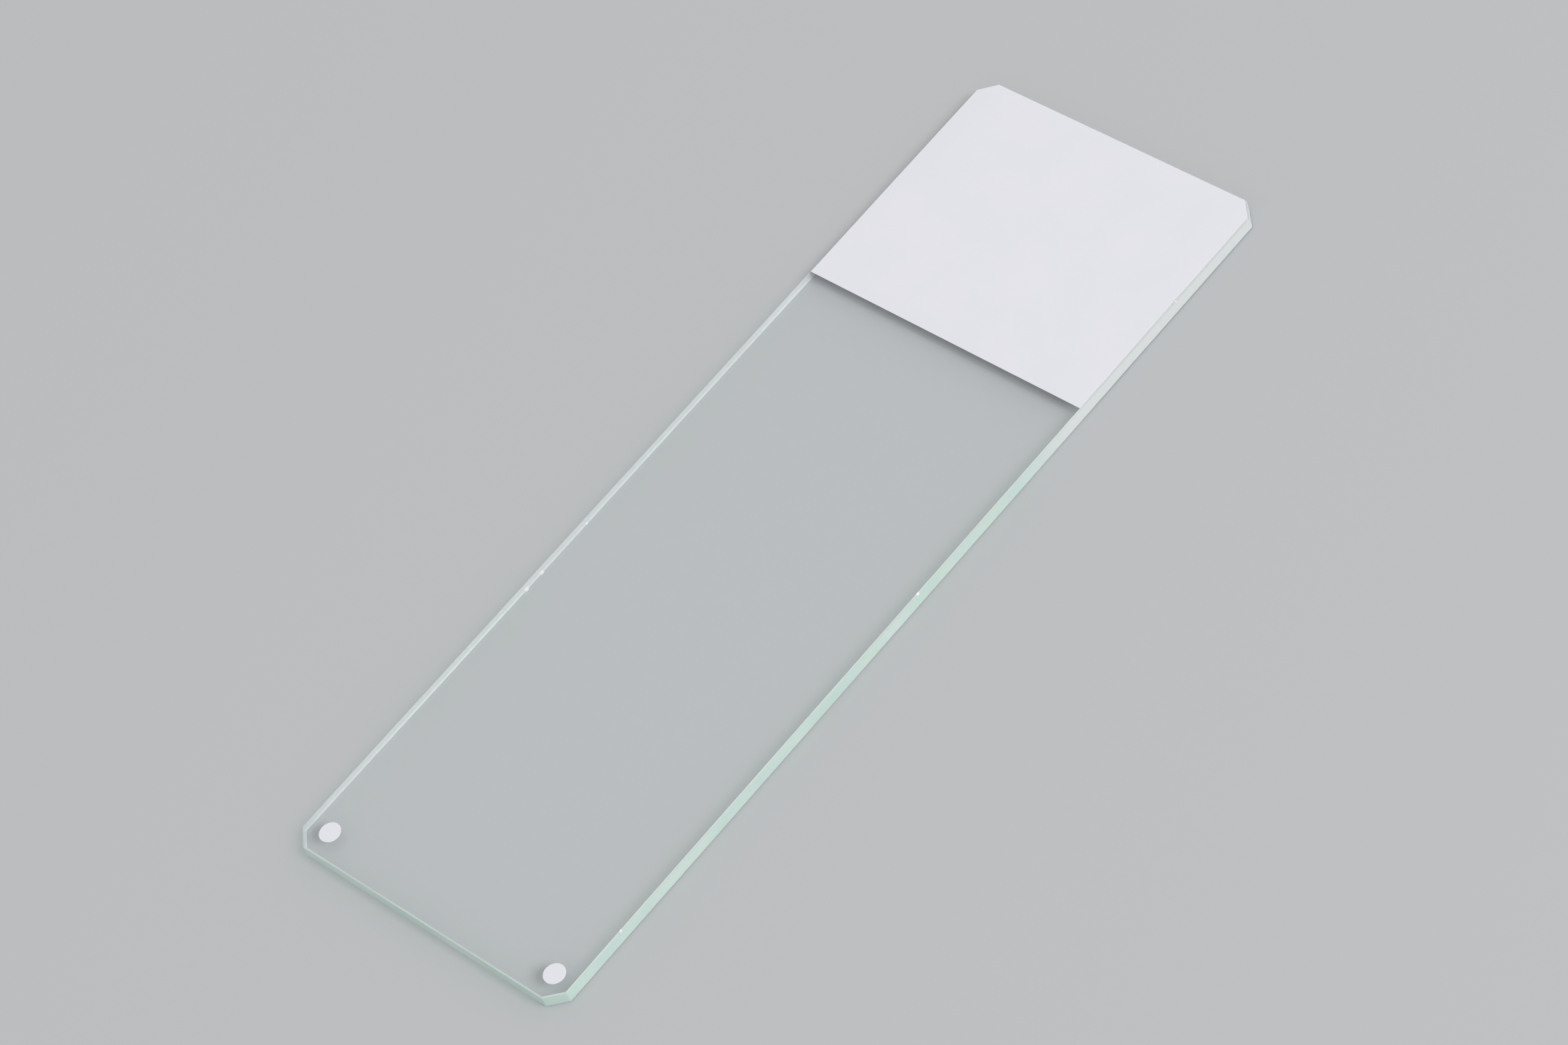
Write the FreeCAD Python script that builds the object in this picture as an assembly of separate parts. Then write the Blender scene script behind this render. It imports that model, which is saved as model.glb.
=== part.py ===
import FreeCAD, Part
import os

# A microscope slide: a thin plate of glass with its four corners clipped at 45 degrees and its
# edges ground. It is printed on the upper face, with a white coat to write on over one end and a
# round white dot beside each corner of the other end.
#
# Millimetres, +Z up. The origin is the middle of the underside, +X runs along the slide towards
# the writing coat, and +Y across it.

# The glass
plate_length = 75.0
plate_width = 25.0
plate_thickness = 1.1
corner_clip = 1.2       # what a clipped corner takes off each of its two sides
corner_radius = 0.2     # of each upright corner that a clip makes with a side
edge_arris = 0.1        # width and depth of the 45 degree bevel ground round both faces

# The print, which is one pass of white ink
ink_thickness = 0.02
coat_length = 20.0      # from the slide's end to the coat's straight inner border
dot_diameter = 1.6
dot_from_end = 1.85     # from the slide's other end to a dot's centre
dot_from_side = 1.9     # from a long side to a dot's centre, where the print is set true
print_drift = -0.2      # how far the print was set off true, along Y

LEVEL = 1e-6            # heights closer than this are the same height


def clipped_rectangle(length, width, clip):
    """The slide's outline as a face at Z 0, centred on the origin."""
    x, y = length / 2, width / 2
    corners = []
    for side_x, side_y in ((1, 1), (-1, 1), (-1, -1), (1, -1)):
        cut = [(side_x * x, side_y * (y - clip)), (side_x * (x - clip), side_y * y)]
        corners += cut if side_x == side_y else reversed(cut)
    points = [FreeCAD.Vector(*corner, 0) for corner in corners]
    return Part.Face(Part.makePolygon(points + points[:1]))


def is_level(edge):
    """True for an edge that lies in one of the plate's faces, and not up its wall."""
    first, last = edge.Vertexes
    return abs(first.Z - last.Z) < LEVEL


def ground_plate():
    """The glass: the outline drawn up to its thickness, its upright corners rounded, and then both
    faces bevelled all round."""
    outline = clipped_rectangle(plate_length, plate_width, corner_clip)
    blank = outline.extrude(FreeCAD.Vector(0, 0, plate_thickness))
    rounded = blank.makeFillet(corner_radius, [edge for edge in blank.Edges if not is_level(edge)])
    return rounded.makeChamfer(edge_arris, [edge for edge in rounded.Edges if is_level(edge)])


def upper_face(plate):
    """The flat that takes the print, which stops where the bevel starts."""
    return max(plate.Faces, key=lambda face: face.CenterOfMass.z)


def writing_coat(plate):
    """Ink over one end of the upper face, out to its rim and round its clipped corners."""
    inner_border = plate_length / 2 - coat_length
    ink = upper_face(plate).extrude(FreeCAD.Vector(0, 0, ink_thickness))
    corner = FreeCAD.Vector(inner_border, -plate_width / 2, plate_thickness)
    printed_end = Part.makeBox(coat_length, plate_width, ink_thickness, corner)
    return ink.common(printed_end)


def corner_dot(side):
    """The dot beside the corner on the +Y side (1) or the -Y side (-1)."""
    x = dot_from_end - plate_length / 2
    y = side * (plate_width / 2 - dot_from_side) + print_drift
    return Part.makeCylinder(dot_diameter / 2, ink_thickness, FreeCAD.Vector(x, y, plate_thickness))


def microscope_slide():
    """Every piece of the slide, by name. Left and right are seen along +X."""
    plate = ground_plate()
    pieces = {"glass_plate": plate, "label_coat": writing_coat(plate)}
    for name, side in (("corner_dot_left", 1), ("corner_dot_right", -1)):
        pieces[name] = corner_dot(side)
    return pieces


os.makedirs("parts", exist_ok=True)
for name, shape in microscope_slide().items():
    shape.exportStep(f"parts/{name}.step")
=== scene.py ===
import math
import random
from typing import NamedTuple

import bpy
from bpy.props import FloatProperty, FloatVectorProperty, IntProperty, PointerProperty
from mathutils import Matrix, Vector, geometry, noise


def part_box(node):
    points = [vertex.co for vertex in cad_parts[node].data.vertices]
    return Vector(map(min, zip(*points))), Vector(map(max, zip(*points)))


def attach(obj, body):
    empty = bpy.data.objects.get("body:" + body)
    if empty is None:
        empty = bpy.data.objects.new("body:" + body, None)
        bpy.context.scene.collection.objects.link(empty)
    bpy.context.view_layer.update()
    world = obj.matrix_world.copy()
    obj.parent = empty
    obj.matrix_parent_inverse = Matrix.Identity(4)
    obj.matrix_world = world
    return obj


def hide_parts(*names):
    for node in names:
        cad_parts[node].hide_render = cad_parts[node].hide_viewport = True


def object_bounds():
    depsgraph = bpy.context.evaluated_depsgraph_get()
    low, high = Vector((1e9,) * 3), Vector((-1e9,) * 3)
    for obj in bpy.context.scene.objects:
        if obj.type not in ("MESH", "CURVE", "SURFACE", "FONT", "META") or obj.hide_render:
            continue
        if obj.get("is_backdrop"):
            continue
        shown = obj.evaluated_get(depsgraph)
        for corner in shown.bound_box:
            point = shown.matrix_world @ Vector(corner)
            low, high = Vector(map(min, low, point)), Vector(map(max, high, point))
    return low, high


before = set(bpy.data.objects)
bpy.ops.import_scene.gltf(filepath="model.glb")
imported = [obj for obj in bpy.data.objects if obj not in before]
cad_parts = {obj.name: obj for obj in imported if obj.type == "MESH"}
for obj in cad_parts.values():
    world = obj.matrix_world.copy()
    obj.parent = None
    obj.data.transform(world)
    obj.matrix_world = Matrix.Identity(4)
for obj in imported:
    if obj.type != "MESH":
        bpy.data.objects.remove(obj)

# A microscope slide: a plate of clear float glass with ground edges, and the white ink printed on
# it. The CAD frame gives every size and place. This file gives the glass its uneven ground rim,
# the ink its printed edge, and both their finish.
#
# Metres, +Z up. +X runs along the slide towards the writing coat, and left and right are seen
# along +X.

bl_info = {
    "name": "Microscope slide",
    "version": (1, 0, 0),
    "blender": (4, 5, 0),
    "location": "3D View > Sidebar > Slide",
    "description": "Builds a glass microscope slide with ground edges and a printed writing area",
    "category": "Add Mesh",
}

CAD_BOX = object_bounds()
BODY = "root"

MM = 0.001
LEVEL = 0.001 * MM      # heights closer than this are the same height


def linear(code):
    """An sRGB hex colour as the linear colour that a shader takes."""
    shares = [int(code[i:i + 2], 16) / 255 for i in (1, 3, 5)]
    return [c / 12.92 if c <= 0.04045 else ((c + 0.055) / 1.055) ** 2.4 for c in shares]


def opaque(colour):
    """A property's colour with the alpha that a socket wants."""
    return (*colour, 1.0)


# ---------------------------------------------------------------------------------------------
# What a user would change
# ---------------------------------------------------------------------------------------------

class GlassSettings(bpy.types.PropertyGroup):
    """The plate of glass."""

    tint: FloatVectorProperty(
        name="Tint", description="What white turns to, seen through the two faces",
        subtype="COLOR", min=0, max=1, default=linear("#FBFCFC"))
    shade: FloatVectorProperty(
        name="Shade", description="What one face leaves of the light that falls through it",
        subtype="COLOR", min=0, max=1, default=linear("#FDFEFE"))
    edge_pale: FloatVectorProperty(
        name="Edge, pale", description="The ground edge where it only scatters the light",
        subtype="COLOR", min=0, max=1, default=linear("#E2F5EC"))
    # Painted glow: this green stands in for light guided along from deep in the glass.
    edge_green_painted_glow: FloatVectorProperty(
        name="Edge, green", description="The ground edge where light comes from deep in the glass",
        subtype="COLOR", min=0, max=1, default=linear("#C8E7DA"))
    # Painted reflection: this grey stands in for what the edge mirrors from within the glass.
    edge_grey_painted_reflection: FloatVectorProperty(
        name="Edge, grey", description="The ground edge as it shows from inside the glass",
        subtype="COLOR", min=0, max=1, default=linear("#E1E5E6"))
    # Painted glow: this white stands in for the ink's light carried along the edge.
    edge_white_painted_ink_glow: FloatVectorProperty(
        name="Edge, white", description="The ground edge where it glows with the ink's white light",
        subtype="COLOR", min=0, max=1, default=linear("#EDF1F1"))
    edge_shade: FloatVectorProperty(
        name="Edge, shade", description="What the ground edge leaves of light that falls through",
        subtype="COLOR", min=0, max=1, default=linear("#BFCFC6"))
    # Partly the white of the fine cracks, partly a painted glint.
    break_white_and_painted_glint: FloatVectorProperty(
        name="Break, white", description="The fine cracks in a chip",
        subtype="COLOR", min=0, max=1, default=linear("#FBFCFC"))
    edge_roughness: FloatProperty(
        name="Edge roughness", description="How rough the wheel left the edges",
        subtype="FACTOR", min=0, max=1, default=0.58)
    edge_clearness: FloatProperty(
        name="Edge clearness", description="How much of the light goes through the ground edge",
        subtype="FACTOR", min=0, max=1, default=0.06)
    arris_clearness: FloatProperty(
        name="Arris clearness", description="The same for the bevel, which a finer stone made",
        subtype="FACTOR", min=0, max=1, default=0.35)
    arris_waver: FloatProperty(
        name="Arris waver", description="How far the bevel's width comes and goes, as a share",
        subtype="FACTOR", min=0, max=0.5, default=0.08)
    nicks: IntProperty(
        name="Nicks", description="How many fine nicks the rims have, beside the chips",
        min=0, max=100, default=8)


class PrintSettings(bpy.types.PropertyGroup):
    """The white ink."""

    ink: FloatVectorProperty(
        name="Ink", description="The dry ink's colour",
        subtype="COLOR", min=0, max=1, default=linear("#E7E7ED"))
    ink_thin: FloatVectorProperty(
        name="Ink, thin", description="The ink's colour where a little less of it came through",
        subtype="COLOR", min=0, max=1, default=linear("#E4E5EA"))
    roughness: FloatProperty(
        name="Roughness", description="How matt the ink dried",
        subtype="FACTOR", min=0, max=1, default=0.62)
    rim_width: FloatProperty(
        name="Rim width", description="How far in from its edge the ink is as thick as elsewhere",
        unit="LENGTH", precision=5, min=0.0, default=0.06 * MM)
    dot_waver: FloatProperty(
        name="Dot waver", description="How far a dot's outline strays from a circle, as a share",
        subtype="FACTOR", min=0, max=0.1, default=0.022)


class StageSettings(bpy.types.PropertyGroup):
    """The floor, the light and the camera."""

    floor: FloatVectorProperty(
        name="Floor", description="The floor's colour",
        subtype="COLOR", min=0, max=1, default=linear("#BFC1C3"))
    ambient: FloatProperty(
        name="Ambient", description="How bright the light from all round is",
        min=0, default=0.68)
    key_power: FloatProperty(
        name="Key lamp", description="The key lamp's power",
        unit="POWER", min=0, default=9.6)
    key_azimuth: FloatProperty(
        name="Key azimuth", description="Where the key lamp stands, turned from -Y towards +X",
        unit="ROTATION", default=math.radians(12))
    key_elevation: FloatProperty(
        name="Key elevation", description="How high the key lamp stands",
        unit="ROTATION", default=math.radians(46))
    view_azimuth: FloatProperty(
        name="View azimuth", description="Where the camera stands, turned from -Y towards +X",
        unit="ROTATION", default=math.radians(-30.2))
    view_elevation: FloatProperty(
        name="View elevation", description="How high the camera stands",
        unit="ROTATION", default=math.radians(49.9))
    view_roll: FloatProperty(
        name="View roll", description="How far the camera leans to its right",
        unit="ROTATION", default=math.radians(24.1))
    view_distance: FloatProperty(
        name="View distance", description="From the camera to the slide's middle",
        unit="LENGTH", min=0.05, default=0.366)
    lens: FloatProperty(
        name="Lens", description="The camera's focal length",
        subtype="DISTANCE_CAMERA", min=10, default=124)


# ---------------------------------------------------------------------------------------------
# Shapes
# ---------------------------------------------------------------------------------------------

STATION = 0.2 * MM      # how far apart the points along an edge are, at most
CHIP_STEPS = 6          # how many finer steps one such step has across a chip
ARRIS_WAYS = (0, 0.25, 0.5, 0.75, 1)    # where the arris has a ring of points, from flat to wall
DOT_STEPS = 120         # how many pieces a dot's outline has
DOT_BUMPS = 2.2         # radius of the circle in the noise that a dot's outline is read from
DOT_INWARD = 0.5        # how much further in than out a dot's outline strays, in the noise's units
SHARP = math.radians(24)    # edges that turn by more than this show as edges

FILL_STEP = 0.1         # how far apart the points inside a flat are, as a share of its width
FILL_INSIDE = 1         # Blender's number for a fill with triangles that stops at the outline
FILL_EXACTNESS = 1e-9   # metres, within which that fill takes two points for one

AIR_GAP = 0.02 * MM     # between the slide and what it lies on
INK_GRIP = 0.003 * MM   # how far the ink reaches into the glass, which joins them for the light
INK_SETBACK = 0.004 * MM    # from the rim of the glass's flat to the ink's own edge

# How the ink stands up from the glass and rounds over: how far in from its edge, as a share of its
# rim's width, and how far up, as a share of its thickness.
INK_EDGE = ((0.0, 0.35), (0.18, 0.75), (0.5, 0.94), (1.0, 1.0))

WAVER_LONG = 5.0 * MM   # along an edge, how far apart the arris is wide and narrow
WAVER_SHORT = 0.7 * MM  # the same for its finer unevenness
LONG_PART = 1.2         # how much each of the two counts
SHORT_PART = 0.5
ARRIS_CROWN = 0.06      # how far a ground arris bulges, as a share of its width

# Chips knocked out of the rims. From the dots' end and from the right long side to the chip, then
# its length and depth, in millimetres, then the face it was knocked from.
CHIPS = (
    (24.0, 25.0, 0.45, 0.12, "lower"),
    (25.7, 25.0, 0.35, 0.09, "lower"),
    (3.0, 25.0, 0.30, 0.04, "upper"),
    (0.0, 1.5, 0.30, 0.08, "lower"),
)
CHIP_UPRIGHT = 0.8      # how far up or down the wall a chip goes, as a share of its depth
CHIP_HOLLOW = 0.5       # how far it is hollowed out, as a share of its depth
CHIP_RAGGED = 0.5       # how unevenly it broke, as a share of its depth
CHIP_FLAKE = 0.13 * MM  # how far apart it broke more and less deeply

NICK_LENGTHS = (0.10, 0.28)     # millimetres
NICK_DEPTHS = (0.01, 0.03)
NICK_SEED = 6

# Which row of the noise an edge's unevenness is read from
ARRIS_ROWS = {"lower": (1.5, 5.5), "upper": (11.5, 15.5)}   # inward and upright
FINER_ROWS = 30         # from an edge's row to the one for its finer unevenness
CHIP_ROW = 3.5
DOT_ROW = 5.5
NOISE_LAYER = 0.5       # the layer of the noise that an edge's rows are in

# The plate's materials, in the order of its material slots
POLISHED, WHEEL_GROUND, STONED, BROKEN = range(4)


class Station(NamedTuple):
    """A point of an outline."""

    place: Vector
    outward: Vector     # the way straight out of the outline
    along: float        # how far along the outline it lies


class Chip(NamedTuple):
    """Where a rim lost some glass."""

    station: Station    # its middle
    length: float
    depth: float
    face: str           # the face it was knocked from


def wall_foot(node):
    """The height at which a CAD node's wall at its -X end starts."""
    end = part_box(node)[0].x
    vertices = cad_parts[node].data.vertices
    return min(vertex.co.z for vertex in vertices if vertex.co.x - end < LEVEL)


def outline_at(node, height):
    """A CAD node's outline at one height, in order round it from the -X end by the -Y side."""
    points = {}
    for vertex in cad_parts[node].data.vertices:
        if abs(vertex.co.z - height) < LEVEL:
            points[round(vertex.co.x / LEVEL), round(vertex.co.y / LEVEL)] = vertex.co.xy
    return sorted(points.values(), key=lambda point: math.atan2(point.y, point.x))


def with_neighbours(outline):
    """Each point of a closed outline, between the one before it and the one after it."""
    return zip(outline[-1:] + outline[:-1], outline, outline[1:] + outline[:1])


def outward(*ways):
    """Straight out of an outline that goes these ways, where it runs anticlockwise."""
    along = sum((way.normalized() for way in ways), Vector((0, 0)))
    return Vector((along.y, -along.x)).normalized()


def stations_round(outline):
    """Stations round an outline: one at each of its corners, and between two corners more of
    them, evenly spaced."""
    stations, travelled = [], 0.0
    for before, corner, after in with_neighbours(outline):
        way = after - corner
        stations.append(Station(corner, outward(corner - before, way), travelled))
        count = math.ceil(way.length / STATION)
        for share in (step / count for step in range(1, count)):
            along = travelled + way.length * share
            stations.append(Station(corner + way * share, outward(way), along))
        travelled += way.length
    return stations


def filled(ring):
    """The points to add inside a flat ring, and the triangles that fill it. A triangle's corners
    are numbered through the ring and then through those points, anticlockwise from above."""
    outline = [Vector(point[:2]) for point in ring]
    spans = [(min(places), max(places)) for places in zip(*outline)]
    step = FILL_STEP * min(high - low for low, high in spans)
    columns, rows = ([low + step * (count + 0.5) for count in range(int((high - low) / step))]
                     for low, high in spans)
    grid = [Vector((x, y)) for x in columns for y in rows]
    sides = [(here, (here + 1) % len(ring)) for here in range(len(ring))]
    points, _, triangles, *_ = geometry.delaunay_2d_cdt(
        outline + grid, sides, [], FILL_INSIDE, FILL_EXACTNESS)
    used = sorted({corner for triangle in triangles for corner in triangle})
    number = {corner: place for place, corner in enumerate(used)}
    inside = [(*points[corner], ring[0][2]) for corner in used[len(ring):]]
    return inside, [[number[corner] for corner in triangle] for triangle in triangles]


def skinned(name, rings, materials, slot_at=None):
    """A closed mesh over rings of points, lowest ring first, with a flat at each end that takes
    the first material. slot_at says which one a face between two rings takes, from the lower
    ring's number and the place of the face's first point in it."""
    count = len(rings[0])
    points = [point for ring in rings for point in ring]
    faces, slots = [], []
    for level in range(len(rings) - 1):
        for here in range(count):
            there = (here + 1) % count
            low, high = level * count, (level + 1) * count
            faces.append([low + here, low + there, high + there, high + here])
            slots.append(slot_at(level, here) if slot_at else 0)
    walls = len(faces)
    for level, turn in ((0, -1), (len(rings) - 1, 1)):
        inside, triangles = filled(rings[level])
        numbers = [*range(level * count, (level + 1) * count),
                   *range(len(points), len(points) + len(inside))]
        points += inside
        faces += [[numbers[corner] for corner in triangle[::turn]] for triangle in triangles]
    flats = len(faces) - walls
    mesh = bpy.data.meshes.new(name)
    mesh.from_pydata(points, [], faces)
    for material in materials:
        mesh.materials.append(material)
    mesh.polygons.foreach_set("material_index", slots + [0] * flats)
    mesh.polygons.foreach_set("use_smooth", [True] * walls + [False] * flats)
    mesh.validate()
    mesh.set_sharp_from_angle(angle=SHARP)
    piece = bpy.data.objects.new(name, mesh)
    bpy.context.scene.collection.objects.link(piece)
    return piece


def place(piece, node, slot):
    """Puts a piece in a CAD node's place."""
    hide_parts(node)
    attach(piece, BODY)


def noise_along(distance, spacing, row):
    """Smooth noise from about -1 to 1 along an edge, which comes and goes at this spacing."""
    return noise.noise(Vector((distance / spacing, row, NOISE_LAYER)))


def waver(along, row):
    """From about -1 to 1, how much wider or narrower an edge was ground here."""
    slow = noise_along(along, WAVER_LONG, row)
    quick = noise_along(along, WAVER_SHORT, row + FINER_ROWS)
    return LONG_PART * slow + SHORT_PART * quick


def chips_and_nicks(stations, nicks):
    """Every chip and nick in the rims."""
    low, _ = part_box("glass_plate")
    found = []
    for from_end, from_side, length, depth, face in CHIPS:
        spot = Vector((low.x + from_end * MM, low.y + from_side * MM))
        nearest = min(stations, key=lambda station: (station.place - spot).length)
        found.append(Chip(nearest, length * MM, depth * MM, face))
    draw = random.Random(NICK_SEED)
    for _ in range(nicks):
        along = draw.uniform(0, stations[-1].along)
        nearest = min(stations, key=lambda station: abs(station.along - along))
        length, depth = draw.uniform(*NICK_LENGTHS), draw.uniform(*NICK_DEPTHS)
        found.append(Chip(nearest, length * MM, depth * MM, draw.choice(("lower", "upper"))))
    return found


def closer_at_chips(stations, chips):
    """The same stations, with finer ones between them across each chip."""
    closer = []
    for here, there in zip(stations, stations[1:] + stations[:1]):
        gap = there.place - here.place
        chipped = any(
            (here.place + gap / 2 - chip.station.place).length < chip.length / 2 + gap.length
            for chip in chips)
        count = CHIP_STEPS if chipped else 1
        for share in (step / count for step in range(count)):
            closer.append(Station(here.place + gap * share, here.outward.lerp(there.outward, share),
                                  here.along + gap.length * share))
    return closer


def bite(station, chips, face):
    """How deep the chips of one face cut at a station."""
    ragged = 1 + CHIP_RAGGED * noise_along(station.along, CHIP_FLAKE, CHIP_ROW)
    depth = 0.0
    for chip in chips:
        way = 2 * (station.place - chip.station.place).length / chip.length
        if chip.face == face and way < 1:
            depth = max(depth, chip.depth * ragged * math.sqrt(1 - way * way))
    return depth


class GroundRim:
    """The plate's outline and, all along it, how much the arris and the chips take off."""

    def __init__(self, settings):
        foot = wall_foot("glass_plate")
        self.bottom, self.top = (corner.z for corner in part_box("glass_plate"))
        self.arris = foot - self.bottom
        self.share = settings.arris_waver
        self.even_stations = stations_round(outline_at("glass_plate", foot))
        self.chips = chips_and_nicks(self.even_stations, settings.nicks)
        self.stations = closer_at_chips(self.even_stations, self.chips)

    def taken(self, station, face):
        """What the arris takes off a station: in from the side, up or down from the face, and the
        part of that which a chip took."""
        inward, upright = (self.arris * (1 + self.share * waver(station.along, row))
                           for row in ARRIS_ROWS[face])
        chip = bite(station, self.chips, face)
        return inward + chip, upright + CHIP_UPRIGHT * chip, chip

    def ring(self, face, way, stations):
        """The rim's points at a way across the arris: 0 at the flat, 1 at the wall."""
        points = []
        for station in stations:
            inward, upright, chip = self.taken(station, face)
            middle = CHIP_HOLLOW * chip - ARRIS_CROWN * self.arris
            hollow = middle * 4 * way * (1 - way)
            x, y = station.place - station.outward * (inward * (1 - way) + hollow)
            drop = upright * way + hollow
            points.append((x, y, self.bottom + drop if face == "lower" else self.top - drop))
        return points

    def rings(self):
        """All of the rim's rings, lowest first."""
        lower = [self.ring("lower", way, self.stations) for way in ARRIS_WAYS]
        return lower + [self.ring("upper", way, self.stations) for way in reversed(ARRIS_WAYS)]

    def slot_at(self, band, here):
        """Which of the plate's materials a face between two rings takes."""
        wall = len(ARRIS_WAYS) - 1
        if band == wall:
            return WHEEL_GROUND
        face = "lower" if band < wall else "upper"
        ends = self.stations[here], self.stations[(here + 1) % len(self.stations)]
        return BROKEN if any(bite(end, self.chips, face) for end in ends) else STONED


def offset_in(outline, distance):
    """An outline's points, each moved straight in by a distance."""
    return [point - outward(point - before, after - point) * distance
            for before, point, after in with_neighbours(outline)]


def ink_rings(outline, glass_top, ink_top, rim_width):
    """The rings of a printed patch, lowest first."""
    levels = [(0.0, glass_top - INK_GRIP)]
    levels += [(inward * rim_width, glass_top + up * (ink_top - glass_top)) for inward, up in INK_EDGE]
    return [[(x, y, height) for x, y in offset_in(outline, inward)] for inward, height in levels]


# ---------------------------------------------------------------------------------------------
# Materials
# ---------------------------------------------------------------------------------------------

GLASS_IOR = 1.52        # of soda-lime glass
INK_IOR = 1.5
# The ink's white light along the ground edges is a painted glow.
PAINTED_INK_GLOW = 8 * MM       # how far past the coat its white light goes along the ground edges

# The sockets of a Mix node, which repeat their names, and the shaders of a Mix Shader
SHARE, NUMBER_A, NUMBER_B, COLOUR_A, COLOUR_B = 0, 2, 3, 6, 7
MIXED_NUMBER, MIXED_COLOUR = 0, 2
SHADER_A, SHADER_B = 1, 2


def add_node(tree, kind, values=None, links=None, **settings):
    """A new node, with its settings, its sockets' values, and what feeds its sockets."""
    node = tree.nodes.new(kind)
    for name, value in settings.items():
        setattr(node, name, value)
    for socket, value in (values or {}).items():
        node.inputs[socket].default_value = value
    for socket, source in (links or {}).items():
        tree.links.new(source, node.inputs[socket])
    return node


def new_material(name):
    """A material with nothing in it yet, and its node tree."""
    material = bpy.data.materials.new(name)
    material.use_nodes = True
    material.node_tree.nodes.clear()
    return material, material.node_tree


def per_metre(millimetres):
    """The texture scale at which a pattern's features are this far apart."""
    return 1 / (millimetres * MM)


def finish_glass(tree, glass, shade, rays):
    """Joins a glass shader to the output, and lets some kinds of ray straight through it. Glass
    throws no dark shadow, only a slight one of the light that its surfaces turn back."""
    path = add_node(tree, "ShaderNodeLightPath")
    clear = add_node(tree, "ShaderNodeBsdfTransparent", {"Color": shade})
    shader = glass.outputs["BSDF"]
    for ray in rays:
        mix = add_node(tree, "ShaderNodeMixShader", links={
            SHARE: path.outputs[ray], SHADER_A: shader, SHADER_B: clear.outputs["BSDF"]})
        shader = mix.outputs["Shader"]
    add_node(tree, "ShaderNodeOutputMaterial", links={"Surface": shader})


def polished_float_glass(settings):
    """Soda-lime float glass, with the faces as they came off the tin and out of the fire. It is
    as clear as air, and shows by what it mirrors and by a breath of green."""
    material, tree = new_material("soda-lime float glass, fire polished")
    glass = add_node(tree, "ShaderNodeBsdfPrincipled", {
        "Base Color": opaque(settings.tint), "Roughness": 0.0, "IOR": GLASS_IOR,
        "Transmission Weight": 1.0})
    finish_glass(tree, glass, opaque(settings.shade), ("Is Diffuse Ray", "Is Shadow Ray"))
    return material


def ground_edge_colour(tree, settings, pale, deep, place_in, lines):
    """The colour of a ground edge: pale, with the deeper colour, a painted glow of light from deep in
    the glass, in patches and along the wheel's lines; a painted grey reflection where it is seen from
    within; and a painted white glow of the ink's light by the ink."""
    patches = add_node(tree, "ShaderNodeTexNoise", {"Scale": per_metre(8.0), "Detail": 4.0},
                       {"Vector": place_in})
    spread = add_node(tree, "ShaderNodeMapRange", {
        "From Min": 0.36, "From Max": 0.64}, {"Value": patches.outputs["Fac"]})
    lined = add_node(tree, "ShaderNodeMix", {SHARE: 0.3}, {
        NUMBER_A: spread.outputs["Result"], NUMBER_B: lines})
    # The deeper colour is a painted glow of light from deep in the glass.
    green = add_node(tree, "ShaderNodeMix", {COLOUR_A: opaque(pale), COLOUR_B: opaque(deep)}, {
        SHARE: lined.outputs[MIXED_NUMBER]}, data_type="RGBA")
    # From within, the edge turns nearly all light back. From outside it turns back very little. The
    #     # grey it mixes towards is a painted reflection of the inside of the glass.
    turned_back = add_node(tree, "ShaderNodeFresnel", {"IOR": GLASS_IOR})
    painted_reflection_within = add_node(tree, "ShaderNodeMix", {COLOUR_B: opaque(settings.edge_grey_painted_reflection)}, {
        SHARE: turned_back.outputs["Fac"], COLOUR_A: green.outputs[MIXED_COLOUR]},
        data_type="RGBA")
    # Near the coat, the edge's colour goes to a painted white glow of the ink's light.
    ink_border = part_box("label_coat")[0].x
    along = add_node(tree, "ShaderNodeSeparateXYZ", links={"Vector": place_in})
    ink_glow_painted_share = add_node(tree, "ShaderNodeMapRange", {
        "From Min": ink_border - PAINTED_INK_GLOW, "From Max": ink_border}, {
        "Value": along.outputs["X"]}, interpolation_type="SMOOTHSTEP")
    colour = add_node(tree, "ShaderNodeMix", {COLOUR_B: opaque(settings.edge_white_painted_ink_glow)}, {
        SHARE: ink_glow_painted_share.outputs["Result"], COLOUR_A: painted_reflection_within.outputs[MIXED_COLOUR]},
        data_type="RGBA")
    return colour.outputs[MIXED_COLOUR]


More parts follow.
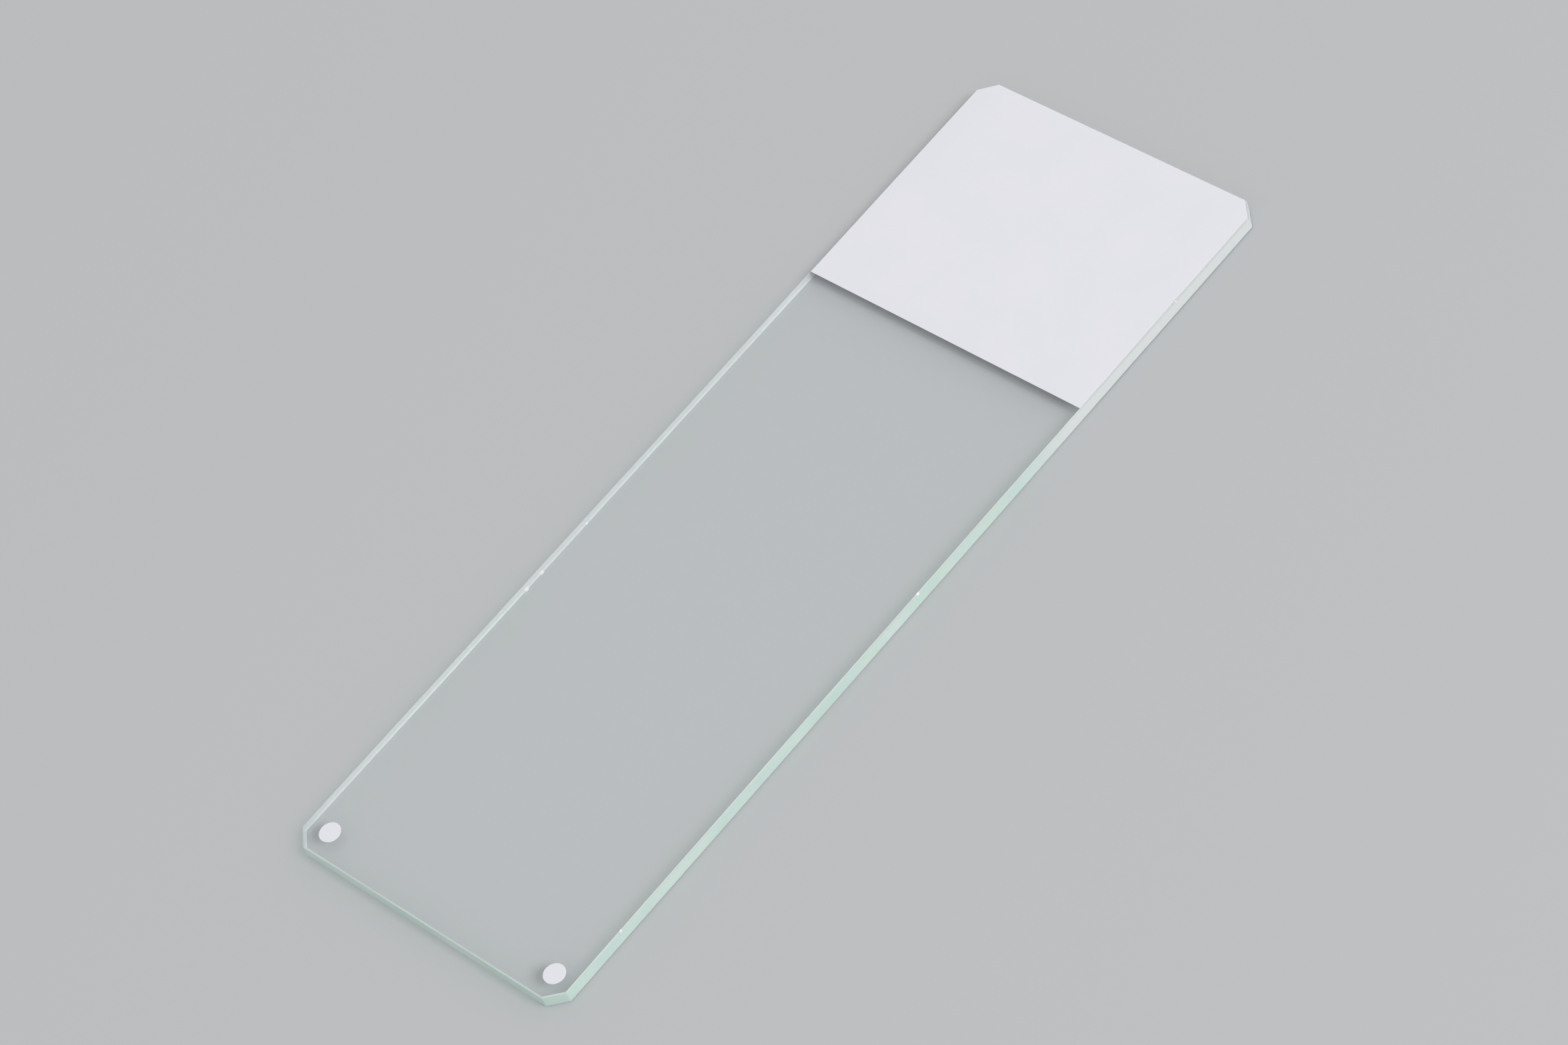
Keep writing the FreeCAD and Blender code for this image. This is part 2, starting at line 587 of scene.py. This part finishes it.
def ground_float_glass(settings, how, clearness, pale, deep):
    """The same glass, ground by a diamond wheel that ran along the edge, or by the stone that took
    off the sharp rims. The eye sees a pale green frosted band with faint lines along it. Its greener
    patches are a painted glow of light coming up from deep in the glass, and its white beside the
    coat of ink is a painted glow of the ink's light. Through the upper face it sees the far edges
    from within, painted as a grey reflection with no light from deep in the glass."""
    material, tree = new_material(f"soda-lime float glass, {how}")
    place_in = add_node(tree, "ShaderNodeTexCoord").outputs["Object"]
    # The wheel's lines are 0.02 mm apart, too fine to see. They are drawn 0.07 mm apart.
    squeeze = add_node(tree, "ShaderNodeMapping", {"Scale": (0.03, 0.03, 1.0)},
                       {"Vector": place_in})
    lines = add_node(tree, "ShaderNodeTexNoise", {"Scale": per_metre(0.07), "Detail": 3.0},
                     {"Vector": squeeze.outputs["Vector"]})
    # The pits left by the grit are 0.03 mm across, and are drawn 0.06 mm across.
    pits = add_node(tree, "ShaderNodeTexNoise", {"Scale": per_metre(0.06), "Detail": 2.0},
                    {"Vector": place_in})
    roughness = add_node(tree, "ShaderNodeMapRange", {
        "To Min": settings.edge_roughness - 0.1, "To Max": settings.edge_roughness + 0.1},
        {"Value": pits.outputs["Fac"]})
    scored = add_node(tree, "ShaderNodeBump", {"Strength": 0.35, "Distance": 0.012 * MM},
                      {"Height": lines.outputs["Fac"]})
    pitted = add_node(tree, "ShaderNodeBump", {"Strength": 0.5, "Distance": 0.01 * MM},
                      {"Height": pits.outputs["Fac"], "Normal": scored.outputs["Normal"]})
    glass = add_node(tree, "ShaderNodeBsdfPrincipled", {
        "IOR": GLASS_IOR, "Transmission Weight": clearness}, {
        "Base Color": ground_edge_colour(tree, settings, pale, deep, place_in, lines.outputs["Fac"]),
        "Roughness": roughness.outputs["Result"], "Normal": pitted.outputs["Normal"]})
    finish_glass(tree, glass, opaque(settings.edge_shade), ("Is Shadow Ray",))
    return material


def broken_float_glass(settings):
    """The same glass where a chip came away. The break is as smooth as the faces but full of fine
    ripples and cracks. Its white is partly the cracks' own and partly a painted glint in the rim."""
    material, tree = new_material("soda-lime float glass, chipped")
    place_in = add_node(tree, "ShaderNodeTexCoord").outputs["Object"]
    # The ripples of the break are 0.01 mm apart, and are drawn 0.05 mm apart.
    ripples = add_node(tree, "ShaderNodeTexNoise", {"Scale": per_metre(0.05), "Detail": 2.0},
                       {"Vector": place_in})
    cracked = add_node(tree, "ShaderNodeBump", {"Strength": 0.8, "Distance": 0.02 * MM},
                       {"Height": ripples.outputs["Fac"]})
    glass = add_node(tree, "ShaderNodeBsdfPrincipled", {
        "Base Color": opaque(settings.break_white_and_painted_glint), "Roughness": 0.18, "IOR": GLASS_IOR,
        "Transmission Weight": 0.2}, {"Normal": cracked.outputs["Normal"]})
    finish_glass(tree, glass, opaque(settings.edge_shade), ("Is Shadow Ray",))
    return material


def screen_printed_ink(settings):
    """White epoxy ink, squeezed through a woven screen and baked. It is an even, chalky white
    that takes a pencil, with a fine tooth and no shine."""
    material, tree = new_material("white epoxy ink, screen printed")
    place_in = add_node(tree, "ShaderNodeTexCoord").outputs["Object"]
    clouds = add_node(tree, "ShaderNodeTexNoise", {"Scale": per_metre(5.0), "Detail": 4.0},
                      {"Vector": place_in})
    spread = add_node(tree, "ShaderNodeMapRange", {
        "From Min": 0.35, "From Max": 0.65}, {"Value": clouds.outputs["Fac"]})
    # The filler's grains are 0.02 mm across, and are drawn 0.09 mm across.
    grain = add_node(tree, "ShaderNodeTexNoise", {"Scale": per_metre(0.09), "Detail": 2.0},
                     {"Vector": place_in})
    mottle = add_node(tree, "ShaderNodeMix", {SHARE: 0.3}, {
        NUMBER_A: spread.outputs["Result"], NUMBER_B: grain.outputs["Fac"]})
    colour = add_node(tree, "ShaderNodeMix", {
        COLOUR_A: opaque(settings.ink), COLOUR_B: opaque(settings.ink_thin)}, {
        SHARE: mottle.outputs[MIXED_NUMBER]}, data_type="RGBA")
    roughness = add_node(tree, "ShaderNodeMapRange", {
        "To Min": settings.roughness - 0.06, "To Max": settings.roughness + 0.06},
        {"Value": grain.outputs["Fac"]})
    tooth = add_node(tree, "ShaderNodeBump", {"Strength": 0.5, "Distance": 0.006 * MM},
                     {"Height": grain.outputs["Fac"]})
    ink = add_node(tree, "ShaderNodeBsdfPrincipled", {"IOR": INK_IOR}, {
        "Base Color": colour.outputs[MIXED_COLOUR], "Roughness": roughness.outputs["Result"],
        "Normal": tooth.outputs["Normal"]})
    add_node(tree, "ShaderNodeOutputMaterial", links={"Surface": ink.outputs["BSDF"]})
    return material


def matt_board(colour):
    """Plain board with a flat emulsion on it. It has no shine at all."""
    material, tree = new_material("board, matt emulsion")
    board = add_node(tree, "ShaderNodeBsdfDiffuse", {"Color": colour})
    add_node(tree, "ShaderNodeOutputMaterial", links={"Surface": board.outputs["BSDF"]})
    return material


# ---------------------------------------------------------------------------------------------
# Operators, one for each kind of piece and one for the stage
# ---------------------------------------------------------------------------------------------

# Metres
FLOOR_SIZE = 40.0       # so wide that its far edge is near the horizon
KEY_DISTANCE = 1.5      # from the middle of the slide's underside to the key lamp
KEY_SIZE = 0.8          # across the key lamp, which is round
NEAREST = 0.01          # what is nearer to the camera than this doesn't show


def direction(azimuth, elevation):
    """The way to something that stands at an azimuth, turned from -Y towards +X, and a height."""
    return Vector((math.sin(azimuth) * math.cos(elevation),
                   -math.cos(azimuth) * math.cos(elevation),
                   math.sin(elevation)))


class SLIDE_OT_stage(bpy.types.Operator):
    """Lays the floor, hangs the light and stands the camera"""

    bl_idname = "slide.stage"
    bl_label = "Stage"

    def execute(self, context):
        settings = context.scene.slide_stage
        self.lay_floor(context, settings)
        self.light(context, settings)
        self.stand_camera(context, settings)
        context.scene.view_settings.view_transform = "Standard"
        return {"FINISHED"}

    def lay_floor(self, context, settings):
        half = FLOOR_SIZE / 2
        height = CAD_BOX[0].z - AIR_GAP
        mesh = bpy.data.meshes.new("floor")
        mesh.from_pydata([(-half, -half, height), (half, -half, height),
                          (half, half, height), (-half, half, height)], [], [(0, 1, 2, 3)])
        mesh.materials.append(matt_board(opaque(settings.floor)))
        floor = bpy.data.objects.new("floor", mesh)
        context.scene.collection.objects.link(floor)
        floor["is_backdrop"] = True

    def light(self, context, settings):
        world = bpy.data.worlds.new("studio")
        world.use_nodes = True
        world.node_tree.nodes.clear()
        sky = add_node(world.node_tree, "ShaderNodeBackground", {
            "Color": opaque(linear("#FFFFFF")), "Strength": settings.ambient})
        add_node(world.node_tree, "ShaderNodeOutputWorld", links={
            "Surface": sky.outputs["Background"]})
        context.scene.world = world
        lamp = bpy.data.lights.new("key", "AREA")
        lamp.shape, lamp.size = "DISK", KEY_SIZE
        lamp.energy = settings.key_power
        key = bpy.data.objects.new("key", lamp)
        way = direction(settings.key_azimuth, settings.key_elevation)
        key.location = way * KEY_DISTANCE
        key.rotation_euler = way.to_track_quat("Z", "Y").to_euler()
        # The lamp's light goes straight through the glass, so it doesn't count again as light
        # that the glass bends.
        key.visible_camera = key.visible_transmission = False
        context.scene.collection.objects.link(key)

    def stand_camera(self, context, settings):
        lens = bpy.data.cameras.new("camera")
        lens.lens = settings.lens
        lens.clip_start, lens.clip_end = NEAREST, FLOOR_SIZE
        camera = bpy.data.objects.new("camera", lens)
        low, high = CAD_BOX
        way = direction(settings.view_azimuth, settings.view_elevation)
        upright = way.to_track_quat("Z", "Y")
        leaned = upright.to_matrix() @ Matrix.Rotation(-settings.view_roll, 3, "Z")
        camera.location = (low + high) / 2 + way * settings.view_distance
        camera.rotation_euler = leaned.to_euler()
        context.scene.collection.objects.link(camera)
        context.scene.camera = camera


class SLIDE_OT_glass_plate(bpy.types.Operator):
    """Makes the plate of glass, with its polished faces and ground edges"""

    bl_idname = "slide.glass_plate"
    bl_label = "Glass plate"

    def execute(self, context):
        settings = context.scene.slide_glass
        rim = GroundRim(settings)
        # The bevel is too narrow to gather much of the light from deep in the glass, so its base is
        # the
        #         # painted grey reflection from within, and its painted glow from deep is only the
        #         pale colour.
        materials = {
            POLISHED: polished_float_glass(settings),
            WHEEL_GROUND: ground_float_glass(settings, "wheel ground", settings.edge_clearness,
                                             settings.edge_pale, settings.edge_green_painted_glow),
            STONED: ground_float_glass(settings, "stoned", settings.arris_clearness,
                                       settings.edge_grey_painted_reflection, settings.edge_pale),
            BROKEN: broken_float_glass(settings)}
        plate = skinned("slide_glass", rim.rings(), materials.values(), rim.slot_at)
        place(plate, "glass_plate", "glass")
        return {"FINISHED"}


class SLIDE_OT_writing_coat(bpy.types.Operator):
    """Prints the coat of ink over one end of the slide"""

    bl_idname = "slide.writing_coat"
    bl_label = "Writing coat"

    def execute(self, context):
        settings = context.scene.slide_print
        low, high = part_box("label_coat")
        rim = GroundRim(context.scene.slide_glass)
        flat = [Vector(point[:2]) for point in rim.ring("upper", 0, rim.even_stations)]
        edge = offset_in(flat, INK_SETBACK)
        outline = [point for point in edge if point.x > low.x + STATION / 2]
        right = Vector((low.x, outline[0].y))
        left = Vector((low.x, outline[-1].y))
        count = math.ceil((left - right).length / STATION)
        outline += [left.lerp(right, step / count) for step in range(count + 1)]
        rings = ink_rings(outline, low.z, high.z, settings.rim_width)
        coat = skinned("writing_coat", rings, [screen_printed_ink(settings)])
        place(coat, "label_coat", "white_ink")
        return {"FINISHED"}


class SLIDE_OT_corner_dots(bpy.types.Operator):
    """Prints the two dots beside the corners of the slide's other end"""

    bl_idname = "slide.corner_dots"
    bl_label = "Corner dots"

    def execute(self, context):
        settings = context.scene.slide_print
        ink = screen_printed_ink(settings)
        for seed, side in enumerate(("left", "right"), start=1):
            low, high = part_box(f"corner_dot_{side}")
            middle, radius = ((low + high) / 2).xy, (high.x - low.x) / 2
            outline = []
            for step in range(DOT_STEPS):
                spoke = Vector((1, 0)) @ Matrix.Rotation(-math.tau * step / DOT_STEPS, 2)
                stray = noise.noise((*(spoke * DOT_BUMPS), seed * DOT_ROW)) - DOT_INWARD
                outline.append(middle + spoke * radius * (1 + settings.dot_waver * stray))
            rings = ink_rings(outline, low.z, high.z, settings.rim_width)
            dot = skinned(f"printed_dot_{side}", rings, [ink])
            place(dot, f"corner_dot_{side}", "white_ink")
        return {"FINISHED"}


# ---------------------------------------------------------------------------------------------
# Sidebar and registration
# ---------------------------------------------------------------------------------------------

class VIEW3D_PT_slide(bpy.types.Panel):
    """What the slide is made from, and a button for each step of its making."""

    bl_label = "Microscope slide"
    bl_space_type = "VIEW_3D"
    bl_region_type = "UI"
    bl_category = "Slide"

    def draw(self, context):
        for group, operators in STEPS.items():
            box = self.layout.box()
            settings = getattr(context.scene, group)
            for name in settings.__annotations__:
                box.prop(settings, name)
            for operator in operators:
                box.operator(operator.bl_idname)


SETTINGS = {
    "slide_stage": StageSettings,
    "slide_glass": GlassSettings,
    "slide_print": PrintSettings,
}
STEPS = {
    "slide_stage": (SLIDE_OT_stage,),
    "slide_glass": (SLIDE_OT_glass_plate,),
    "slide_print": (SLIDE_OT_writing_coat, SLIDE_OT_corner_dots),
}
CLASSES = (*SETTINGS.values(), *(operator for group in STEPS.values() for operator in group),
           VIEW3D_PT_slide)


def register():
    for cls in CLASSES:
        bpy.utils.register_class(cls)
    for group, cls in SETTINGS.items():
        setattr(bpy.types.Scene, group, PointerProperty(type=cls))


def unregister():
    for group in SETTINGS:
        delattr(bpy.types.Scene, group)
    for cls in reversed(CLASSES):
        bpy.utils.unregister_class(cls)


def main():
    register()
    bpy.ops.slide.stage()
    bpy.ops.slide.glass_plate()
    bpy.ops.slide.writing_coat()
    bpy.ops.slide.corner_dots()
    boxes = {"cad": CAD_BOX, "visual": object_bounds()}
    {name: [list(corner) for corner in box] for name, box in boxes.items()}


if __name__ == "__main__":
    main()
